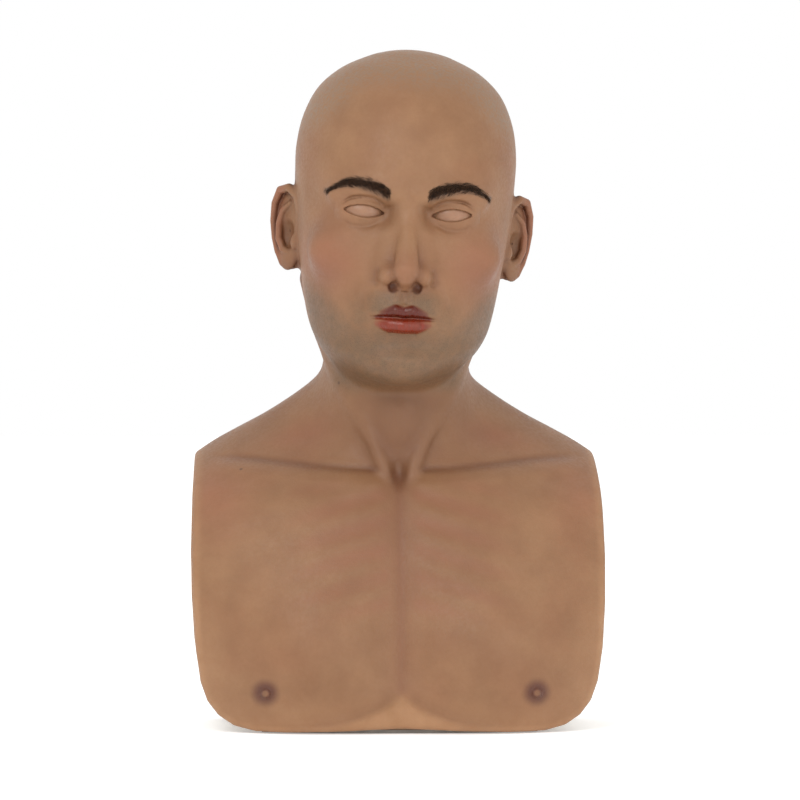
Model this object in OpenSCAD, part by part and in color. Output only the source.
// Bust-length striking mannequin: a one-piece silicone skin with a front and a back flap,
// pulled over a foam head, neck and chest and closed by a zip down the back.
// Front faces -Y, +Z is up, and the part stands on z = 0.

/* [Head] */
// Height from the underside of the chin to the crown
head_h = 240; // [238:1:246]
// Sideways lean of the head, in degrees
head_lean = 3; // [0:0.5:3]
// Radius of the blank eyes
eye_r = 12; // [11.5:0.1:12.5]
// Distance between the two eye centres
eye_gap = 63; // [60:1:66]
// Length of an ear
ear_h = 64; // [58:1:70]

/* [Skin] */
// Thickness of the silicone skin
skin_t = 4.5; // [4.5:0.1:5]
// Gap between the skin and the foam under it
skin_gap = 0.5; // [0.4:0.1:0.8]
// Half width of the slot that the zip runs in
zip_slot = 6; // [5.6:0.1:7]

/* [Stand socket] */
// Inner radius of the sleeve that drops over a stand's post
post_r = 25.25; // [24:0.25:26]
// Wall of the sleeve
sleeve_wall = 3.25; // [2.5:0.25:4]
// Height of the sleeve above the board's underside
sleeve_h = 180; // [150:1:185]

/* [Base] */
// Thickness of the plywood board
board_t = 12; // [9:1:15]
// Thickness of the rubber pad under the board
pad_t = 3; // [2:0.5:4]

/* [Zip] */
// Distance between two teeth on one side
tooth_pitch = 3; // [2.5:0.1:3.5]
// Length of the slider's body
slider_l = 13; // [12:0.5:14]
// Length of the pull tab from its hinge
pull_l = 24; // [20:1:25]

/* [Hidden] */

skin_colour = [0.68, 0.50, 0.40];
bare_colour = [0.72, 0.50, 0.36];
hair_colour = [0.08, 0.06, 0.05];
foam_colour = [0.86, 0.78, 0.62];
coat_colour = [0.30, 0.31, 0.33];
zinc_colour = [0.75, 0.76, 0.78];
wood_colour = [0.80, 0.66, 0.46];
rubber_colour = [0.13, 0.13, 0.13];
tape_colour = [0.56, 0.42, 0.32];

// Longer than the part in any direction
far = 400;
// Overlap of a cut with the face that it opens
over = 1;
// Clearance round a screw, bolt, rod or plug in its hole
play = 0.2;
// Clearance between two foam blocks, or foam and a hard part
foam_play = 0.3;

chin_z = 252;
// The head's lean starts at this height and is fully there this much higher
lean_from = 240;
lean_over = 60;
eye_y = -71;
eye_z = chin_z + head_h / 2;
eye_x = eye_gap / 2;
// A front cut out of the face reaches this far
face_reach = 60;

// Profile of the bust. Each row is one ring through the front and the back mid-line points:
// [front y, front z, back y, back z, half width, share of the way back where it is widest,
//  front roundness, back roundness]. A roundness of 2 is an ellipse, and more is squarer.
rings = [
    [ -97,   0, 107.0,   0, 160, 0.50, 2.3, 2.4],
    [-101,  30, 105.9,  30, 168, 0.50, 2.4, 2.5],
    [-100,  62, 104.5,  62, 174, 0.50, 2.5, 2.5],
    [ -95,  95, 103.1,  95, 177, 0.50, 2.5, 2.5],
    [ -87, 128, 101.5, 131, 178, 0.50, 2.4, 2.5],
    [ -77, 152, 100.0, 168, 176, 0.50, 2.3, 2.4],
    [ -68, 168,  98.4, 192, 167, 0.52, 2.2, 2.3],
    [ -61, 177,  92.2, 216, 142, 0.55, 2.1, 2.2],
    [ -56, 182,  86.0, 229, 123, 0.57, 2.0, 2.1],
    [ -53, 187,  79.0, 241, 102, 0.60, 2.0, 2.0],
    [ -51, 194,  72.0, 255,  80, 0.62, 2.0, 2.0],
    [ -50, 203,  66.3, 268,  64, 0.60, 2.0, 2.0],
    [ -51, 216,  63.0, 279,  56, 0.57, 2.0, 2.0],
    [ -52, 231,  61.2, 290,  53, 0.55, 2.0, 2.0],
    [ -53, 242,  61.0, 300,  53, 0.55, 2.0, 2.0],
    [ -62, 247,  62.0, 305,  54, 0.55, 2.0, 2.0],
    [ -76, 250,  64.0, 309,  57, 0.56, 2.0, 2.0],
    [ -89, 254,  66.5, 313,  61, 0.56, 2.0, 2.0],
    [ -96, 264,  70.0, 319,  65, 0.56, 2.1, 2.0],
    [ -94, 277,  76.0, 327,  68, 0.56, 2.2, 2.0],
    [ -99, 296,  86.0, 340,  71, 0.56, 2.2, 2.0],
    [ -97, 320,  95.0, 357,  74, 0.55, 2.2, 2.1],
    [ -92, 345, 100.0, 375,  77, 0.55, 2.3, 2.1],
    [ -90, 370, 101.0, 393,  79, 0.55, 2.3, 2.1],
    [ -94, 390,  99.0, 409,  80, 0.55, 2.3, 2.1],
    [ -92, 412,  95.0, 426,  80, 0.55, 2.2, 2.1],
    [ -85, 436,  87.0, 446,  76, 0.54, 2.1, 2.1],
    [ -71, 459,  72.0, 465,  66, 0.54, 2.0, 2.0],
    [ -50, 476,  52.0, 479,  49, 0.52, 2.0, 2.0],
    [ -26, 487,  30.0, 488,  28, 0.50, 2.0, 2.0]];
crown_y = 3;
crown_z = chin_z + head_h;
outer_steps = 62;
outer_sides = 48;
inner_steps = 40;
inner_sides = 32;

// Edge of the flaps in front view, from the hem at the middle up to the tip of the shoulder
flap_edge = [[0, 4], [40, 2], [80, 1], [104, 1.5], [119, 5], [130, 12], [138, 22], [143, 36], [146.5, 60],
             [148.5, 92], [149, 125], [148, 165], [146, 200], [143, 260]];

// Mid-line of the zip: straight up the back, then a Bezier curve over the base of the neck
zip_low = [106.8, 6];
zip_bend = [98.8, 190];
zip_curve = [zip_bend, [97.2, 228], [60, 252], [61, 300]];
zip_top = 0.93;
zip_lean = atan2(zip_low[0] - zip_bend[0], zip_bend[1] - zip_low[1]);
slider_at = 32;
hinge_at = slider_at - 1;
hinge_out = 2.0;

function smooth(t) = let (u = min(max(t, 0), 1)) u * u * (3 - 2 * u);
function bump(d, size) = exp(-d * d / (size * size));
function spline(a, b, c, d, t) =
    0.5 * (2 * b + (c - a) * t + (2 * a - 5 * b + 4 * c - d) * t * t + (3 * b - a - 3 * c + d) * t * t * t);
function ring_at(t) =
    let (last = len(rings) - 1, i = min(floor(t), last - 1))
    spline(rings[max(i - 1, 0)], rings[i], rings[i + 1], rings[min(i + 2, last)], t - i);

// Leans a point of the head sideways, fading out down the neck
function lean(p) =
    let (k = tan(head_lean), z = p[2], up = max(z - lean_from, 0))
    [p[0] + k * (up < lean_over ? up * up / (2 * lean_over) : up - lean_over / 2), p[1],
     z - k * p[0] * smooth(up / lean_over)];

// How far the chest muscles and shoulder blades stand out of the ring
function relief(x, z, front) = front
    ? 13 * bump(abs(x) - 66, 42) * bump(z - 62, 52) * smooth(abs(x) / 26)
    : 7 * bump(abs(x) - 76, 36) * bump(z - 120, 55);

// One point of a ring, drawn in by the depth of the layer below the surface
function ring_point(r, turn, inset) =
    let (c = cos(turn), s = sin(turn), front = c > 0, n = front ? r[6] : r[7],
         span = norm([r[2] - r[0], r[3] - r[1]]),
         reach = (front ? r[5] : 1 - r[5]) * span - inset,
         x = (r[4] - inset) * sign(s) * pow(abs(s), 2 / n),
         along = (front ? -1 : 1) * reach * pow(abs(c), 2 / n),
         mid = [r[0] + (r[2] - r[0]) * r[5], r[1] + (r[3] - r[1]) * r[5]],
         dir = [r[2] - r[0], r[3] - r[1]] / span,
         z = mid[1] + along * dir[1] - inset * smooth((mid[1] - 400) / 80),
         out = z < 200 ? relief(x, z, front) * pow(abs(c), 0.7) : 0)
    lean([x, mid[0] + along * dir[0] + (front ? -out : out), z]);

// The bust as one closed solid, drawn in by inset
module bust(inset, steps, sides) {
    last = len(rings) - 1;
    low = -0.5;
    points = [
        for (i = [0:steps - 1], j = [0:sides - 1])
            ring_point(ring_at(i * last / (steps - 1)), 360 * j / sides, inset),
        lean([0, 0, low]), lean([0, crown_y, crown_z - inset])];
    foot = steps * sides;
    faces = [
        for (i = [0:steps - 2], j = [0:sides - 1])
            let (a = i * sides + j, b = i * sides + (j + 1) % sides)
            each [[a, b + sides, b], [a, a + sides, b + sides]],
        for (j = [0:sides - 1]) [foot, j, (j + 1) % sides],
        for (j = [0:sides - 1])
            [foot + 1, (steps - 1) * sides + (j + 1) % sides, (steps - 1) * sides + j]];
    polyhedron(points, faces);
}

// Everything inside the flaps' edge, seen from the front
module inside_flaps(inset) {
    edge = [for (p = flap_edge) [max(p[0] - inset, 0), p[1]]];
    last = len(edge) - 1;
    top = crown_z + far;
    rotate([90, 0, 0]) linear_extrude(far, center = true)
        polygon(concat(edge, [[edge[last][0], top], [-edge[last][0], top]],
                       [for (i = [last:-1:1]) [-edge[i][0], edge[i][1]]]));
}

// Places its children in the head's leaning frame
module on_head() {
    multmatrix([[1, 0, tan(head_lean), -tan(head_lean) * (lean_from + lean_over / 2)],
                [0, 1, 0, 0], [-tan(head_lean), 0, 1, 0], [0, 0, 0, 1]]) children();
}

module ball(p, size) {
    translate(p) scale(size) sphere(1, $fn = 16);
}

// Nose bridge, nostrils, lips and brow as plain lumps: place and radii of two balls under one hull
lumps = [[[0, -86, 374], [8, 8, 8], [0, -103, 332], [8, 8, 8]],
         [[0, -106, 328], [9, 8, 7], [11, -97, 325], [6, 8, 6]],
         [[0, -106, 328], [9, 8, 7], [-11, -97, 325], [6, 8, 6]],
         [[-22, -94, 297.5], [4, 4, 3], [0, -99, 299], [8, 4.5, 5]],
         [[22, -94, 297.5], [4, 4, 3], [0, -99, 299], [8, 4.5, 5]],
         [[-34, -80, 389], [16, 9, 6], [34, -80, 389], [16, 9, 6]]];

module features() {
    for (lump = lumps) hull() {
        ball(lump[0], lump[1]);
        ball(lump[2], lump[3]);
    }
}

ear_at = [77, 12, 356];
ear_turn = [9, 24];
ear_back = 10;

module ear(side) {
    translate([side * ear_at[0], ear_at[1], ear_at[2]])
    rotate([-ear_back, 0, 0]) rotate([0, side * ear_turn[0], -side * ear_turn[1]])
    difference() {
        hull() {
            ball([side * 8, 4, ear_h * 0.24], [3, 13, ear_h * 0.24]);
            ball([side * 5, 1, -ear_h * 0.3], [3, 9, ear_h * 0.2]);
            ball([-side * 4, -2, 2], [3, 7, ear_h * 0.3]);
        }
        ball([side * 13, -1, 3], [6.5, 9, ear_h * 0.3]);
    }
}

// Almond-shaped eye opening, pointing out of the face
module eye_opening(side) {
    arc_r = 28;
    rise = 23.4;
    translate([side * eye_x, eye_y, eye_z]) rotate([90, 0, 0]) linear_extrude(face_reach)
        intersection() {
            translate([0, -rise]) circle(arc_r, $fn = 40);
            translate([0, rise]) circle(arc_r, $fn = 40);
        }
}

module eye_space(side, gap) {
    translate([side * eye_x, eye_y, eye_z]) sphere(eye_r + gap, $fn = 24);
}

// Socket that an eye drops into from the front
module eye_socket(side) {
    eye_space(side, play);
    translate([side * eye_x, eye_y, eye_z]) rotate([90, 0, 0])
        cylinder(r = eye_r + play, h = face_reach, $fn = 48);
}

// Frame of the zip's straight stretch: +Z runs up it, +Y points out of the back
module on_zip(up) {
    translate([0, zip_low[0], zip_low[1]]) rotate([zip_lean, 0, 0]) translate([0, 0, up]) children();
}

function bezier(c, t) =
    pow(1 - t, 3) * c[0] + 3 * pow(1 - t, 2) * t * c[1] + 3 * (1 - t) * t * t * c[2] + pow(t, 3) * c[3];
function bezier_slope(c, t) =
    3 * pow(1 - t, 2) * (c[1] - c[0]) + 6 * (1 - t) * t * (c[2] - c[1]) + 3 * t * t * (c[3] - c[2]);

straight_l = norm(zip_bend - zip_low);
// Length of the whole curve past the bend, of which the zip takes the share zip_top
whole_curve_l = 118;
curve_l = whole_curve_l * zip_top;
zip_l = straight_l + curve_l;

// Point [y, z] of the zip at a length s from the hem, and the direction in which it climbs there
function zip_point(s) = s < straight_l
    ? zip_low + (zip_bend - zip_low) * s / straight_l
    : bezier(zip_curve, (s - straight_l) / curve_l * zip_top);
function zip_tilt(s) = s < straight_l ? zip_lean
    : let (d = bezier_slope(zip_curve, (s - straight_l) / curve_l * zip_top)) atan2(-d[0], d[1]);

// Point [y, z] at a distance off the surface
function zip_off(s, out) = let (a = zip_tilt(s)) zip_point(s) + out * [cos(a), sin(a)];

module at_zip(s) {
    p = zip_point(s);
    translate([0, p[0], p[1]]) rotate([zip_tilt(s), 0, 0]) children();
}

// A flat band beside the zip's mid-line, from x0 to x1 and from out0 to out1 off the surface
module zip_band(side, x0, x1, out0, out1, steps, start) {
    stops = concat([start, straight_l], [for (i = [1:steps]) straight_l + curve_l * i / steps]);
    rim = [for (s = stops) zip_off(s, out1)];
    bed = [for (i = [len(stops) - 1:-1:0]) zip_off(stops[i], out0)];
    translate([side > 0 ? x0 : -x1, 0, 0]) rotate([90, 0, 90])
        linear_extrude(x1 - x0) polygon(concat(rim, bed));
}

// Distances off the surface of the inner and outer face, and distances from the mid-line
tape_out = [-2.5, -1.8];
tape_x = [2.3, 15];
tape_steps = 14;
tooth_out = [-3.4, -0.9];
tooth_x = [0.7, 3.3];
// The zip's slot in the skin goes right through it, and down past the hem
slot_out = 12;
slot_steps = 7;
slot_start = -30;

module skin() {
    color(skin_colour) difference() {
        intersection() {
            union() {
                bust(0, outer_steps, outer_sides);
                on_head() {
                    features();
                    ear(1);
                    ear(-1);
                }
            }
            inside_flaps(0);
        }
        bust(skin_t, inner_steps, inner_sides);
        on_head() for (side = [-1, 1]) {
            eye_opening(side);
            eye_space(side, play);
        }
        zip_band(1, -zip_slot, zip_slot, -slot_out, slot_out, slot_steps, slot_start);
    }
}

brow_x = [14, 53];
brow_z = [eye_z + 13, eye_z + 20.5];
brow_taper = 5;
brow_rise = 9;
brow_sweep = 150;
brow_steps = 8;
brow_t = 1.5;
brow_ball = [86, 106, 140];
brow_ball_at = [9, eye_z + 22];

function brow_at(side, u, row) =
    [side * (brow_x[0] + (brow_x[1] - brow_x[0]) * u),
     brow_z[row] - row * brow_taper * u * u + brow_rise * sin(brow_sweep * u)];

module brow_shell(inset) {
    translate([0, brow_ball_at[0], brow_ball_at[1]])
        scale([brow_ball[0] - inset, brow_ball[1] - inset, brow_ball[2]]) sphere(1, $fn = 48);
}

// A brow of short hair: an arched strip that sits on the skin
module eyebrow(side) {
    color(hair_colour) on_head() intersection() {
        translate([0, eye_y, 0]) rotate([90, 0, 0]) linear_extrude(face_reach)
            polygon([for (i = [0:brow_steps]) brow_at(side, i / brow_steps, 0),
                     for (i = [brow_steps:-1:0]) brow_at(side, i / brow_steps, 1)]);
        difference() {
            brow_shell(0);
            brow_shell(brow_t);
        }
    }
}

module eye(side) {
    color(bare_colour) on_head() eye_space(side, 0);
}

neck_low = 234;
neck_high = 270;
slab_tilt = 25;
slab_y = 5;

// Slab between two tilted cuts, the planes where the neck meets the chest and the head
module slab(z0, z1) {
    translate([0, slab_y, z0]) rotate([slab_tilt, 0, 0]) translate([-far / 2, -far / 2, 0])
        cube([far, far, (z1 - z0) * cos(slab_tilt)]);
}

rod_r = 8;
rod_y = 8;
rod_top = 330;
nut_floor = 306;
well_r = 21;
nut_h = 13;
nut_r = 13.8;
washer_r = 19;
washer_t = 3;
// How far the rod stands out below its lower nut, and the well above the rod
rod_tail = 3;
well_over_rod = 4;
core_inset = skin_t + skin_gap;

module core() {
    bust(core_inset, inner_steps, inner_sides);
}

// Way of the threaded rod through the foam, from a height upwards
module rod_way(from) {
    at_axis(from) cylinder(r = rod_r + foam_play, h = far, $fn = 32);
}

module head_core() {
    color(foam_colour) difference() {
        intersection() {
            core();
            slab(neck_high, neck_high + far);
        }
        on_head() for (side = [-1, 1]) eye_socket(side);
        at_axis(neck_low) cylinder(r = rod_r + foam_play, h = rod_top - neck_low, $fn = 32);
        at_axis(nut_floor) cylinder(r = well_r, h = far, $fn = 32);
    }
}

module neck_core() {
    color(foam_colour) difference() {
        intersection() {
            core();
            slab(neck_low, neck_high - foam_play);
        }
        rod_way(0);
    }
}

board_z = [pad_t, pad_t + board_t];
sleeve_r = post_r + sleeve_wall;
sleeve_top = board_z[0] + sleeve_h;

// Room in the foam for the inside of the slider: half width, and inner and outer face off the surface
slider_room = [7, -9, -4.6];
screw_room_h = 42;
flange_room = [1, 9];

module chest_core() {
    color(foam_colour) difference() {
        intersection() {
            core();
            inside_flaps(3);
            translate([-far / 2, -far / 2, board_z[1] + play]) cube([far, far, far]);
            slab(-far / 2, neck_low - foam_play);
        }
        at_axis(0) cylinder(r = sleeve_r + foam_play, h = sleeve_top + cap_lip + foam_play, $fn = 48);
        rod_way(sleeve_top);
        at_axis(0)
            cylinder(r = flange_r + flange_room[0], h = board_z[1] + flange_t + flange_room[1], $fn = 48);
        on_zip(-slot_out) translate([-slider_room[0], slider_room[1], 0])
            cube([2 * slider_room[0], slider_room[2] - slider_room[1], straight_l + 2 * slot_out]);
        board_screw_places() cylinder(r = screw_hole_r, h = screw_room_h, $fn = 24);
    }
}

// Foam plug that closes the well over the upper nut
module crown_plug() {
    color(foam_colour) intersection() {
        core();
        at_axis(rod_top + well_over_rod) cylinder(r = well_r - foam_play, h = far, $fn = 32);
    }
}

module at_axis(z) {
    translate([0, rod_y, z]) children();
}

module ring(outer, inner, h) {
    difference() {
        cylinder(r = outer, h = h, $fn = 64);
        translate([0, 0, -over]) cylinder(r = inner, h = h + 2 * over, $fn = 64);
    }
}

cap_plug = 36;
cap_lip = 4;
cap_floor = 14;
cap_step = 1.75;
cap_r = post_r - cap_step;

// Sleeve that drops over the post of a stand. The post stops at the step under the cap.
module post_sleeve() {
    color(coat_colour) at_axis(board_z[0]) difference() {
        cylinder(r = sleeve_r, h = sleeve_h, $fn = 64);
        translate([0, 0, -over]) cylinder(r = post_r, h = sleeve_h - cap_plug + over, $fn = 64);
        cylinder(r = cap_r, h = sleeve_h + over, $fn = 64);
    }
}

// Plug in the top of the sleeve. The rod's lower nut and washer sit in its counterbore.
module sleeve_cap() {
    color(coat_colour) at_axis(sleeve_top) difference() {
        union() {
            translate([0, 0, -cap_plug]) cylinder(r = cap_r, h = cap_plug, $fn = 64);
            cylinder(r = sleeve_r, h = cap_lip, $fn = 64);
        }
        translate([0, 0, -cap_plug - over]) cylinder(r = rod_r + play, h = far, $fn = 32);
        translate([0, 0, -cap_plug - over])
            cylinder(r = washer_r + foam_play, h = cap_plug - cap_floor + over, $fn = 64);
    }
}

lower_washer = sleeve_top - cap_floor - washer_t;

module neck_rod() {
    low = lower_washer - nut_h - rod_tail;
    color(zinc_colour) at_axis(low) cylinder(r = rod_r, h = rod_top - low, $fn = 32);
}

// A hexagonal nut
module nut(r, hole_r, h) {
    difference() {
        cylinder(r = r, h = h, $fn = 6);
        translate([0, 0, -over]) cylinder(r = hole_r, h = h + 2 * over, $fn = 32);
    }
}

module rod_nuts() {
    color(zinc_colour) for (z = [lower_washer - nut_h, nut_floor + washer_t])
        at_axis(z) nut(nut_r, rod_r, nut_h);
}

module rod_washers() {
    color(zinc_colour) for (z = [lower_washer, nut_floor])
        at_axis(z) ring(washer_r, rod_r + play, washer_t);
}

// Reach of the hem's outline to the front, the back and the sides, and its squareness
hem_reach = [91, 100, 150];
hem_power = 0.85;

// Outline of the board or the pad: the hem's outline, cut straight at both sides
module base_outline(inset, half_w) {
    intersection() {
        polygon([for (a = [0:6:354])
            let (c = cos(a), s = sin(a), reach = c > 0 ? -hem_reach[0] : hem_reach[1])
            [(hem_reach[2] - inset) * sign(s) * pow(abs(s), hem_power),
             (reach - sign(reach) * inset) * pow(abs(c), hem_power)]]);
        square([2 * half_w, far], center = true);
    }
}

flange_r = 58;
flange_t = 4;
flange_pcd = 92;
board_half_w = 106;
pad_inset = 7;
// Bolts: shank radius, head radius, head height, length past the flange, and nut
bolt_r = 3;
bolt_head_r = 5.8;
bolt_head_h = 2.8;
bolt_tail = 7;
bolt_nut_r = 5.7;
bolt_nut_h = 5;
// Screws: shank radius, head radius, head height, shank and point length
screw_r = 1.8;
screw_head_r = 4;
screw_head_h = 2.4;
screw_l = 35;
screw_point = [0.3, 3];
screw_hole_r = screw_r + foam_play;
// A countersink is this much wider and deeper than its head, and a head lies this far up in it
sink_wide = 0.4;
sink_up = 0.1;
skim = 0.01;
// Free hole in the pad round a bolt's and a screw's head
pad_hole_r = [7, 5];
board_screw_at = [[-88, -42], [88, -42], [-88, 58], [88, 58], [0, -72], [0, 86]];

module flange_bolt_places() {
    for (a = [45:90:315]) translate([flange_pcd / 2 * cos(a), rod_y + flange_pcd / 2 * sin(a), 0]) children();
}

module board_screw_places() {
    for (p = board_screw_at) translate([p[0], p[1], 0]) children();
}

// Hole through the board, countersunk from below
module sunk_hole(r, head_r, head_h) {
    cylinder(r = r, h = board_z[1] + over, $fn = 24);
    translate([0, 0, board_z[0] - skim])
        cylinder(r1 = head_r + sink_wide, r2 = r, h = head_h + play, $fn = 24);
}

module base_board() {
    color(wood_colour) difference() {
        translate([0, 0, board_z[0]]) linear_extrude(board_t) base_outline(0, board_half_w);
        at_axis(0) cylinder(r = sleeve_r + foam_play, h = board_z[1] + over, $fn = 64);
        flange_bolt_places() sunk_hole(bolt_r + play, bolt_head_r, bolt_head_h);
        board_screw_places() sunk_hole(screw_hole_r, screw_head_r, screw_head_h);
    }
}

// Steel ring welded round the sleeve, bolted down on the board
module base_flange() {
    color(coat_colour) difference() {
        at_axis(board_z[1]) ring(flange_r, sleeve_r, flange_t);
        flange_bolt_places() cylinder(r = bolt_r + foam_play, h = board_z[1] + flange_t + over, $fn = 24);
    }
}

module flange_bolts() {
    color(zinc_colour) flange_bolt_places() translate([0, 0, board_z[0] + sink_up]) {
        cylinder(r1 = bolt_head_r, r2 = bolt_r, h = bolt_head_h, $fn = 24);
        cylinder(r = bolt_r, h = board_t + flange_t + bolt_tail, $fn = 24);
    }
}

module flange_nuts() {
    color(zinc_colour) flange_bolt_places() translate([0, 0, board_z[1] + flange_t])
        nut(bolt_nut_r, bolt_r, bolt_nut_h);
}

module board_screws() {
    color(zinc_colour) board_screw_places() translate([0, 0, board_z[0] + sink_up]) {
        cylinder(r1 = screw_head_r, r2 = screw_r, h = screw_head_h, $fn = 24);
        cylinder(r = screw_r, h = screw_l, $fn = 24);
        translate([0, 0, screw_l]) cylinder(r1 = screw_r, r2 = screw_point[0], h = screw_point[1], $fn = 24);
    }
}

module pad_hole(r) {
    translate([0, 0, -over]) cylinder(r = r, h = pad_t + 2 * over, $fn = 32);
}

module base_pad() {
    color(rubber_colour) difference() {
        linear_extrude(pad_t) base_outline(pad_inset, board_half_w - pad_inset);
        at_axis(0) pad_hole(sleeve_r + over);
        flange_bolt_places() pad_hole(pad_hole_r[0]);
        board_screw_places() pad_hole(pad_hole_r[1]);
    }
}

module zip_tape(side) {
    color(tape_colour) zip_band(side, tape_x[0], tape_x[1], tape_out[0], tape_out[1], tape_steps, 0);
}

teeth_from = 26;
// Free length of tape past the last tooth
teeth_end = 7;
tooth_l = 1.7;
hem_stop_l = 3;
hem_stop_below = 4;
nape_stop_l = 3.5;
nape_stop_half = 3.8;
nape_stop_below = 4;
// A stop is this much thicker than the teeth on each face and edge
stop_proud = 0.3;

module zip_teeth(side) {
    count = floor((zip_l - teeth_end - teeth_from) / tooth_pitch);
    shift = side > 0 ? 0 : tooth_pitch / 2;
    color(bare_colour) for (i = [0:count - 1]) at_zip(teeth_from + shift + i * tooth_pitch)
        translate([side > 0 ? tooth_x[0] : -tooth_x[1], tooth_out[0], 0])
            cube([tooth_x[1] - tooth_x[0], tooth_out[1] - tooth_out[0], tooth_l]);
}

module zip_hem_stops() {
    wide = tooth_x[1] - tooth_x[0] + stop_proud;
    color(zinc_colour) for (side = [-1, 1]) at_zip(teeth_from - hem_stop_below)
        translate([side > 0 ? tooth_x[0] : -tooth_x[0] - wide, tooth_out[0] - stop_proud, 0])
            cube([wide, tooth_out[1] - tooth_out[0] + 2 * stop_proud, hem_stop_l]);
}

module zip_nape_stop() {
    color(zinc_colour) at_zip(zip_l - nape_stop_below)
        translate([-nape_stop_half, tooth_out[0] - stop_proud, 0])
            cube([2 * nape_stop_half, tooth_out[1] - tooth_out[0] + 2 * stop_proud, nape_stop_l]);
}

slider_w = 9.8;
// Plates over and under the teeth: how far off the surface each starts, and its thickness
outer_plate = [-0.5, 1.4];
inner_plate = [-5, 1.2];
// Wedge between the two rows of teeth
wedge = [0.9, 4, 4];
// Side flanges: thickness, and start and height of the outer and the inner one
flange_w = 0.8;
outer_flange = [-1.4, 1.2];
inner_flange = [-4, 1.1];
// Bail that holds the pull: width, bar thickness, length and height of its legs
bail_w = 2.4;
bail_t = 1;
bail_l = 7.2;
bail_leg = [0.5, 3];

module zip_slider() {
    color(zinc_colour) on_zip(slider_at) translate([0, 0, -slider_l / 2]) {
        for (plate = [outer_plate, inner_plate])
            translate([-slider_w / 2, plate[0], 0]) cube([slider_w, plate[1], slider_l]);
        translate([-wedge[0] / 2, -wedge[1], 0]) cube(wedge);
        for (x = [-slider_w / 2, slider_w / 2 - flange_w], edge = [outer_flange, inner_flange])
            translate([x, edge[0], 0]) cube([flange_w, edge[1], slider_l]);
        translate([-bail_w / 2, 0, (slider_l - bail_l) / 2]) {
            for (end = [0, bail_l - bail_t])
                translate([0, bail_leg[0], end]) cube([bail_w, bail_leg[1], bail_t]);
            translate([0, bail_leg[1], 0]) cube([bail_w, bail_t, bail_l]);
        }
    }
}

pull_t = 1.5;
pull_half = 3.6;
// Slot that the bail passes through: half width and length
pull_slot = [1.7, 6];
hinge_pin_l = 5.2;
pull_hole_r = 1.5;

module zip_pull() {
    // Height of the middle of the round end, and width of the arms beside the slot
    round_at = pull_half - pull_l;
    arm_w = pull_half - pull_slot[0];
    color(zinc_colour) on_zip(hinge_at) translate([0, hinge_out, 0]) {
        translate([-hinge_pin_l / 2, 0, 0]) rotate([0, 90, 0])
            cylinder(r = pull_t / 2, h = hinge_pin_l, $fn = 24);
        for (x = [-pull_half, pull_slot[0]])
            translate([x, -pull_t / 2, -pull_slot[1] - over]) cube([arm_w, pull_t, pull_slot[1] + over]);
        difference() {
            union() {
                translate([-pull_half, -pull_t / 2, round_at])
                    cube([2 * pull_half, pull_t, -pull_slot[1] - round_at]);
                translate([0, pull_t / 2, round_at]) rotate([90, 0, 0])
                    cylinder(r = pull_half, h = pull_t, $fn = 32);
            }
            translate([0, pull_t, round_at]) rotate([90, 0, 0])
                cylinder(r = pull_hole_r, h = 2 * pull_t, $fn = 24);
        }
    }
}

skin();
eyebrow(1);  // eyebrow_left
eyebrow(-1);  // eyebrow_right
eye(1);  // eye_left
eye(-1);  // eye_right
head_core();
crown_plug();
neck_core();
chest_core();
post_sleeve();
sleeve_cap();
neck_rod();
rod_nuts();
rod_washers();
base_board();
base_flange();
flange_bolts();
flange_nuts();
board_screws();
base_pad();
zip_tape(1);  // zip_tape_left
zip_tape(-1);  // zip_tape_right
zip_teeth(1);  // zip_teeth_left
zip_teeth(-1);  // zip_teeth_right
zip_hem_stops();
zip_nape_stop();
zip_slider();
zip_pull();
